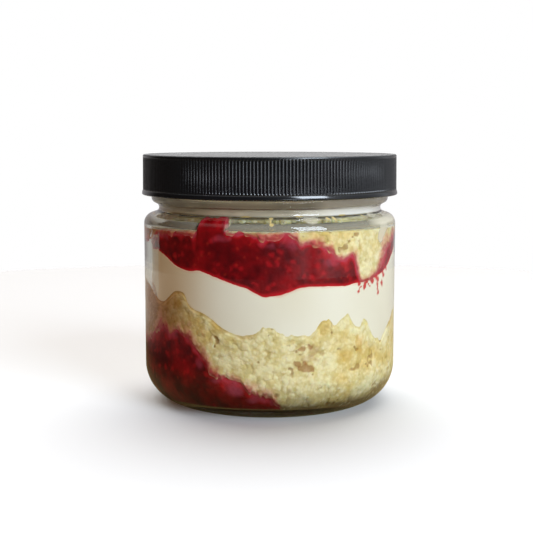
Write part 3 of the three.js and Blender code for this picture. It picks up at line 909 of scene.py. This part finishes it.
def either(owner, first, second, share):
    """A shader between two others."""
    made = node(owner, "MixShader", Fac=share)
    feed(owner, made.inputs[1], first)
    feed(owner, made.inputs[2], second)
    return made.outputs["Shader"]


def rising(owner, value, low, high, **inputs):
    """A value's way from low to high, as a share."""
    return node(owner, "MapRange", Value=value, From_Min=low, From_Max=high, **inputs).outputs["Result"]


def own_tint(material):
    made = node(material, "Attribute")
    made.attribute_name = "tint"
    return made.outputs


def raise_surface(material, shader, height, strength, depth):
    """Raises a surface by a height, where 1 stands for a depth in millimetres."""
    bump = node(material, "Bump", Height=height, Strength=strength, Distance=depth * MM)
    feed(material, shader.inputs["Normal"], bump.outputs["Normal"])


def food_material(name, roughness, specular, grain, depth, mottle, subsurface=0.0, radius=(1, 1, 1)):
    """A food's own tint, mottled by a fine noise that also raises its surface."""
    material, shader = principled(
        name, Roughness=roughness, Specular_IOR_Level=specular, Subsurface_Weight=subsurface,
        Subsurface_Scale=MM, Subsurface_Radius=radius,
    )
    where = node(material, "TexCoord").outputs["Object"]
    noise = node(material, "TexNoise", Vector=where, Scale=grain, Detail=6.0, Roughness=0.65)
    noise = noise.outputs["Fac"]
    shade = rising(material, noise, 0, 1, To_Min=1 - mottle, To_Max=1 + mottle)
    mottled = reckoned(material, "VectorMath", "SCALE", own_tint(material)["Color"])
    feed(material, mottled.inputs["Scale"], shade)
    feed(material, shader.inputs["Base Color"], mottled.outputs["Vector"])
    raise_surface(material, shader, noise, 0.6, depth)
    return material


def crumb_heights(material, where):
    """Soft round crumbs and finer grains: high in their middles."""
    noise = node(material, "TexNoise", Vector=where, Scale=800.0, Detail=3.0, Roughness=0.6)
    swing = (0.9 * MM, 0.9 * MM, 0.9 * MM)
    bent = reckoned(material, "VectorMath", "MULTIPLY_ADD", noise.outputs["Color"], swing, where)
    height = 1.0
    for scale, share in ((430.0, 0.55), (900.0, 0.35)):
        crumbs = node(material, "TexVoronoi", Vector=bent.outputs["Vector"], Scale=scale)
        crumbs.feature = "SMOOTH_F1"
        crumbs.inputs["Smoothness"].default_value = 0.35
        added = reckoned(material, "Math", "MULTIPLY_ADD", crumbs.outputs["Distance"], -share, height)
        height = added.outputs["Value"]
    return height


def cake_material():
    """The cake's tint, made of soft round crumbs and finer grains, golden and darker between them: their
    own colour, with painted shade in the gaps.
    """
    material, shader = principled(
        "cake_crumb", Roughness=0.85, Specular_IOR_Level=0.06, Subsurface_Scale=MM,
        Subsurface_Radius=(2.6, 2.1, 1.4),
    )
    where = node(material, "TexCoord").outputs["Object"]
    height = crumb_heights(material, where)
    tint = own_tint(material)
    airy = node(material, "TexNoise", Vector=where, Scale=170.0, Detail=2.0).outputs["Fac"]
    smoother = reckoned(material, "Math", "MULTIPLY_ADD", airy, 0.9, height).outputs["Value"]
    # Own colour and painted shade: the tint turns darker and more golden where the crumbs fall away
    golden = (0.84, 0.79, 0.61)
    deep = reckoned(material, "VectorMath", "MULTIPLY", tint["Color"], golden).outputs["Vector"]
    shown = blended(material, deep, tint["Color"], rising(material, smoother, 0.84, 1.16))
    feed(material, shader.inputs["Base Color"], shown)
    soft = reckoned(material, "Math", "MULTIPLY", tint["Alpha"], 0.8).outputs["Value"]
    feed(material, shader.inputs["Subsurface Weight"], soft)
    raise_surface(material, shader, height, 0.75, 0.45)
    return material


def film_material():
    """Smeared cream, carrying painted light, shade and a painted reflection line: its tint's fourth value
    says how much of the glass it covers.
    """
    material = food_material(
        "smeared_cream_and_painted_light", roughness=0.6, specular=0.05, grain=700, depth=0.05, mottle=0.06
    )
    shader = material.node_tree.nodes["Principled BSDF"]
    feed(material, shader.inputs["Alpha"], own_tint(material)["Alpha"])
    return material


def glass_material():
    """Clear glass that lets lamps through to the food behind it."""
    material, shader = principled(
        "clear_glass", Base_Color=(0.965, 0.985, 0.965, 1), Transmission_Weight=1, Roughness=0.0, IOR=1.5
    )
    clear = node(material, "BsdfTransparent", Color=(0.96, 0.975, 0.96, 1)).outputs["BSDF"]
    rays = node(material, "LightPath").outputs
    lamps = reckoned(material, "Math", "MAXIMUM", rays["Is Shadow Ray"], rays["Is Diffuse Ray"])
    shown = either(material, shader.outputs["BSDF"], clear, lamps.outputs["Value"])
    feed(material, material.node_tree.nodes["Material Output"].inputs["Surface"], shown)
    return material


def cap_material():
    """Black plastic: glossy on its lip and ribs, satin on top, with a faint moulded grain."""
    material, shader = principled(
        "black_plastic", Base_Color=(0.006, 0.0062, 0.0075, 1), Specular_IOR_Level=0.9
    )
    where = node(material, "TexCoord").outputs["Object"]
    noise = node(material, "TexNoise", Vector=where, Scale=900.0, Detail=3.0).outputs["Fac"]
    up = node(material, "SeparateXYZ", Vector=where).outputs["Z"]
    edge = (CAP_TOP_Z - CAP_EDGE_ROUND) * MM
    satin = rising(material, up, edge, edge + 0.3 * MM, To_Min=0.1, To_Max=0.55)
    rough = reckoned(material, "Math", "MULTIPLY_ADD", noise, 0.07, satin)
    feed(material, shader.inputs["Roughness"], rough.outputs["Value"])
    raise_surface(material, shader, noise, 0.05, 0.03)
    return material


def level(height):
    """An outline that is flat all round."""
    return lambda deg: np.full(np.shape(deg), height)


def shifted(height, by):
    """An outline, moved up or down."""
    return lambda deg: height(deg) + by


def lower_cake_foot(deg):
    return np.maximum(rough_raspberry_lower(deg) - UNDERLAP, FOOD_FOOT_Z)


def make_raspberry_lower():
    colour = jam_colour(level(FOOD_FOOT_Z - 9), lower_raspberry_top, HAZE_LOWER)
    foot, top = level(FOOD_FOOT_Z), rough_raspberry_lower
    return layer_piece("raspberry_lower_pulp", foot, top, JAM_ROWS, jam_depth, colour)


def make_cake_lower():
    depth = cake_depth(rough_raspberry_lower, cream_foot)
    colour = cake_colour(rough_raspberry_lower, lower_raspberry_top, cream_foot, 2.2, TOAST_LOWER)
    top = shifted(cream_foot, OVERLAP)
    return layer_piece("cake_lower_crumb", lower_cake_foot, top, LOWER_CAKE_ROWS, depth, colour)


def make_cream():
    top = shifted(cream_top, OVERLAP)
    return layer_piece("cream_layer", cream_foot, top, CREAM_ROWS, cream_depth, cream_colour)


def make_raspberry_upper():
    colour = jam_colour(cream_top, upper_raspberry_top, HAZE_UPPER)
    foot, top = cream_top, rough_raspberry_upper
    return layer_piece("raspberry_upper_pulp", foot, top, JAM_ROWS, jam_depth, colour)


def make_cake_upper():
    nothing = level(RIM_Z)
    depth = cake_depth(rough_raspberry_upper, nothing)
    colour = cake_colour(rough_raspberry_upper, upper_raspberry_top, nothing, 1.9, TOAST_UPPER)
    foot, top = shifted(rough_raspberry_upper, -UNDERLAP), upper_cake_top
    return layer_piece("cake_upper_crumb", foot, top, UPPER_CAKE_ROWS, depth, colour, cake_crown)


def make_food():
    cake = cake_material()
    jam = food_material(
        "raspberry_pulp", roughness=0.4, specular=0.06, grain=900, depth=0.08, mottle=0.22,
        subsurface=0.2, radius=(1.2, 0.25, 0.25),
    )
    cream = food_material(
        "cream_filling", roughness=0.5, specular=0.08, grain=260, depth=0.04, mottle=0.015
    )
    layers = [
        (make_raspberry_lower, "raspberry_lower", "raspberry", jam),
        (make_cake_lower, "cake_lower", "cake", cake),
        (make_cream, "cream", "cream", cream),
        (make_raspberry_upper, "raspberry_upper", "raspberry", jam),
        (make_cake_upper, "cake_upper", "cake", cake),
    ]
    for make_piece, replaced, slot, material in layers:
        piece = make_piece()
        piece.data.materials.append(material)
        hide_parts(replaced)


def make_glass():
    piece = turned("jar_glass", glass_profile(), np.linspace(0, 360, GLASS_COLUMNS, endpoint=False))
    piece.data.materials.append(glass_material())
    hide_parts("glass_jar")


def make_cap():
    corners = (np.array(RIB_CORNERS) + 1) / 2
    angles = ((np.arange(RIB_COUNT)[:, None] + corners) * 360 / RIB_COUNT).ravel()
    piece = turned("ribbed_cap", cap_profile(), angles, ribbed)
    piece.data.materials.append(cap_material())
    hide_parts("cap")


def make_camera():
    data = bpy.data.cameras.new("camera")
    data.sensor_width = SENSOR_WIDTH
    data.lens = FOCAL_PIXELS / PHOTO_PIXELS * SENSOR_WIDTH
    camera = add_object("camera", data)
    pitch = math.radians(CAMERA_PITCH)
    aside = -(JAR_AXIS_PIXEL - PHOTO_PIXELS / 2) * CAMERA_DISTANCE / FOCAL_PIXELS
    camera.location = (
        aside * MM,
        -CAMERA_DISTANCE * math.cos(pitch) * MM,
        (CAMERA_AIM_Z + CAMERA_DISTANCE * math.sin(pitch)) * MM,
    )
    camera.rotation_euler = (math.pi / 2 - pitch, 0, 0)
    bpy.context.scene.camera = camera


def facing(deg, up):
    """The direction towards a point at an angle round the jar and above the floor."""
    a, e = math.radians(deg), math.radians(up)
    return Vector((math.sin(a) * math.cos(e), -math.cos(a) * math.cos(e), math.sin(e)))


def make_lamp(name, kind, deg, up, colour, power):
    lamp = add_object(name, bpy.data.lights.new(name, kind))
    lamp.data.energy = power
    lamp.data.color = colour
    lamp.rotation_euler = (-facing(deg, up)).to_track_quat("-Z", "Y").to_euler()
    return lamp


def make_window(name, deg, up, distance, size, colour, power):
    """A soft box that faces the jar."""
    lamp = make_lamp(name, "AREA", deg, up, colour, power)
    lamp.data.shape = "RECTANGLE"
    lamp.data.size, lamp.data.size_y = size
    lamp.location = facing(deg, up) * distance + Vector((0, 0, 0.04))
    return lamp


def make_ceiling():
    """Wide soft light from above and a little behind, which lays the jar's shadow on the floor."""
    sun = make_lamp("ceiling", "SUN", deg=180, up=60, colour=(1, 1, 1), power=4.4)
    sun.data.angle = math.radians(60)


def across_ramp(owner, across, stops):
    """A colour that changes from the left of the room, at -1, to its right, at 1."""
    ramp = node(owner, "ValToRGB", Fac=across)
    elements = ramp.color_ramp.elements
    while len(elements) < len(stops):
        elements.new(0.5)
    for element, (at, colour) in zip(elements, stops):
        element.position = (at + 1) / 2
        element.color = (*colour, 1)
    return ramp.outputs["Color"]


# The room from its left to its right: as glass and cap mirror it, as glass lets it through, and as fill
MIRRORED_ROOM = [
    (-1.0, (0.03, 0.024, 0.02)), (-0.2, (0.04, 0.036, 0.032)), (0.3, (0.14, 0.15, 0.155)),
    (0.5, (0.5, 0.53, 0.56)), (0.62, (0.12, 0.125, 0.13)), (0.8, (0.6, 0.63, 0.66)),
    (1.0, (0.3, 0.31, 0.33)),
]
ROOM_BEYOND = [
    (-1.0, (0.5, 0.49, 0.45)), (-0.45, (0.42, 0.4, 0.36)), (-0.26, (0.13, 0.1, 0.066)),
    (-0.1, (0.28, 0.25, 0.2)), (0.03, (0.42, 0.41, 0.36)), (0.2, (0.66, 0.67, 0.6)),
    (1.0, (0.85, 0.86, 0.82)),
]
FILL_BEHIND = [(-0.9, (0.28, 0.17, 0.08)), (0.1, (0.6, 0.6, 0.57))]
FILL_IN_FRONT = (0.28, 0.13, 0.045, 1)
# Paler parts of the mirrored room, above and behind: axis, where each starts and is whole, colour
MIRRORED_PALE = (("Z", 0.45, 0.8, (0.5, 0.51, 0.51, 1)), ("Y", 0.5, 0.9, (0.42, 0.4, 0.41, 1)))


def make_world():
    """White behind the jar. Glass and cap mirror a dim room on the left and a pale one on the right."""
    world = bpy.data.worlds.new("studio")
    bpy.context.scene.world = world
    world.use_nodes = True
    where = node(world, "TexCoord").outputs["Generated"]
    axes = node(world, "SeparateXYZ", Vector=where).outputs
    span = rising(world, axes["X"], -1, 1)
    mirrored = across_ramp(world, span, MIRRORED_ROOM)
    for axis, low, high, colour in MIRRORED_PALE:
        share = node(world, "MapRange", Value=axes[axis], From_Min=low, From_Max=high)
        share.interpolation_type = "SMOOTHSTEP"
        mirrored = blended(world, mirrored, colour, share.outputs["Result"])
    beyond = across_ramp(world, span, ROOM_BEYOND)
    fill = blended(world, FILL_IN_FRONT, across_ramp(world, span, FILL_BEHIND), axes["Y"])
    white = world.node_tree.nodes["Background"]
    white.inputs["Color"].default_value = (1, 1, 1, 1)
    rays = node(world, "LightPath").outputs
    shown = node(world, "Background", Color=mirrored).outputs["Background"]
    for ray, colour in (("Is Transmission Ray", beyond), ("Is Diffuse Ray", fill)):
        light = node(world, "Background", Color=colour).outputs["Background"]
        shown = either(world, shown, light, rays[ray])
    shown = either(world, shown, white.outputs["Background"], rays["Is Camera Ray"])
    feed(world, world.node_tree.nodes["World Output"].inputs["Surface"], shown)


# The floor as the glass shows it, near the jar and far off: axis, two places, and their colours
FLOOR_NEAR = ("X", -110, 40, (0.02, 0.018, 0.012, 1), (0.27, 0.22, 0.1, 1))
FLOOR_FAR = ("Y", 30, 120, (0.065, 0.065, 0.062, 1), (0.3, 0.29, 0.26, 1))
FLOOR_FAR_START, FLOOR_FAR_WHOLE = 110, 200
# The floor as it lights the food, and as the camera sees it
FLOOR_RAYS = (("Is Diffuse Ray", (0.2, 0.2, 0.185, 1)), ("Is Camera Ray", (0.578, 0.602, 0.615, 1)))


def floor_material():
    material, shader = principled("pale_floor", Roughness=1.0, Specular_IOR_Level=0.0)
    where = node(material, "TexCoord").outputs["Object"]
    axes = node(material, "SeparateXYZ", Vector=where).outputs

    def spread(axis, low, high, first, second):
        return blended(material, first, second, rising(material, axes[axis], low * MM, high * MM))

    away = reckoned(material, "VectorMath", "LENGTH", where).outputs["Value"]
    far = rising(material, away, FLOOR_FAR_START * MM, FLOOR_FAR_WHOLE * MM)
    shown = blended(material, spread(*FLOOR_NEAR), spread(*FLOOR_FAR), far)
    rays = node(material, "LightPath").outputs
    for ray, colour in FLOOR_RAYS:
        shown = blended(material, shown, colour, rays[ray])
    feed(material, shader.inputs["Base Color"], shown)
    return material


def make_floor():
    """A pale floor that throws little light back at the jar."""
    mesh = bpy.data.meshes.new("floor")
    around = np.arange(0, 360, 3)
    rim = place(around, FLOOR_RADIUS * MM, around * 0)
    mesh.from_pydata(rim.tolist(), [], [tuple(range(len(rim)))])
    floor = add_object("floor", mesh)
    floor.data.materials.append(floor_material())


def make_studio():
    make_world()
    make_floor()
    make_window(
        "window", deg=38, up=28, distance=1.0, size=(0.45, 0.62), colour=(0.92, 1.04, 1.17), power=8.9
    )
    card = make_window(
        "card", deg=20, up=5.7, distance=0.3, size=(0.1, 0.024), colour=(0.92, 1.0, 1.1), power=0.022
    )
    card.visible_camera = False
    make_ceiling()
    bpy.context.scene.view_settings.view_transform = "Standard"


make_camera()
make_studio()
make_food()
make_film()
make_glass()
make_cap()
